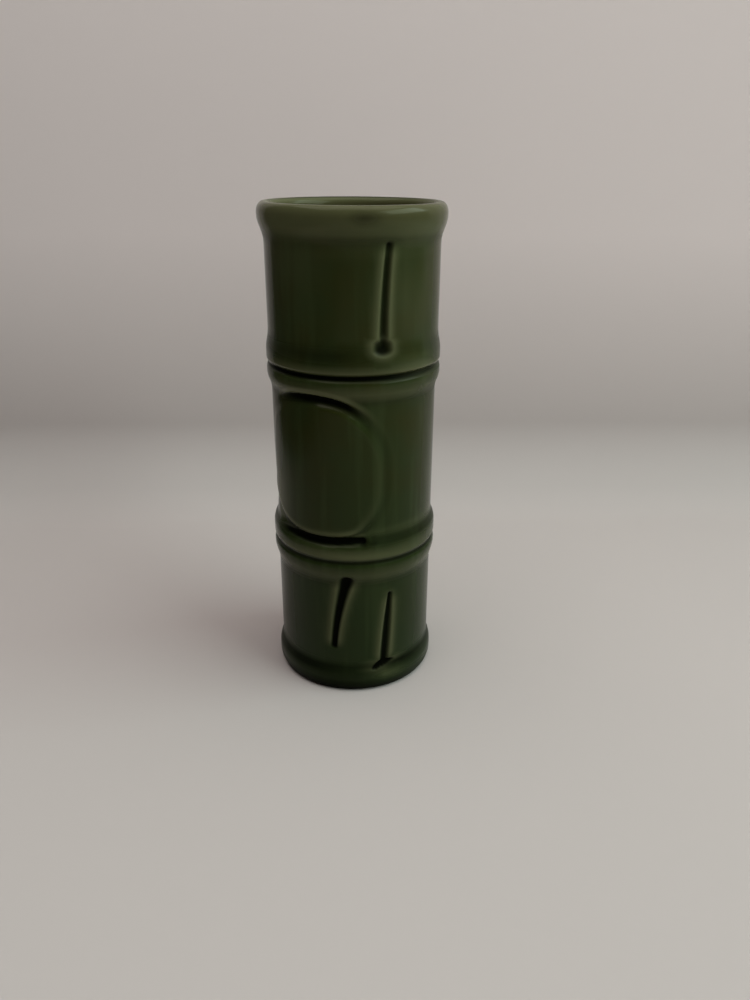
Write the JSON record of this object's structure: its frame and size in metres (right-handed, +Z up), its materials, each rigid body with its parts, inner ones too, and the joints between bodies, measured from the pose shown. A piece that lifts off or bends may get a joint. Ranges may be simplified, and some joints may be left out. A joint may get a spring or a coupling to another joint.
{
  "type": "tumbler vase",
  "caption": "Tall slip-cast ceramic tumbler vase in the form of a bamboo cane, with ringed joints, a carved oval boss and drying cracks under a glossy green glaze.",
  "frame": {"origin": "middle of the foot ring, on the surface that the vase stands on", "axes": "+Z up along the vase's axis; -Y is the front, with the oval boss; +X is to the right seen from the front"},
  "size_m": [0.0636, 0.0636, 0.175],
  "materials": {
    "bare_clay": "unglazed cast clay, matt",
    "green_glaze": "glossy dark green glaze"
  },
  "bodies": {
    "root": {"clay_body": "bare_clay", "outer_glaze": "green_glaze", "liner_glaze": "green_glaze", "underside_glaze": "green_glaze"}
  },
  "joints": []
}
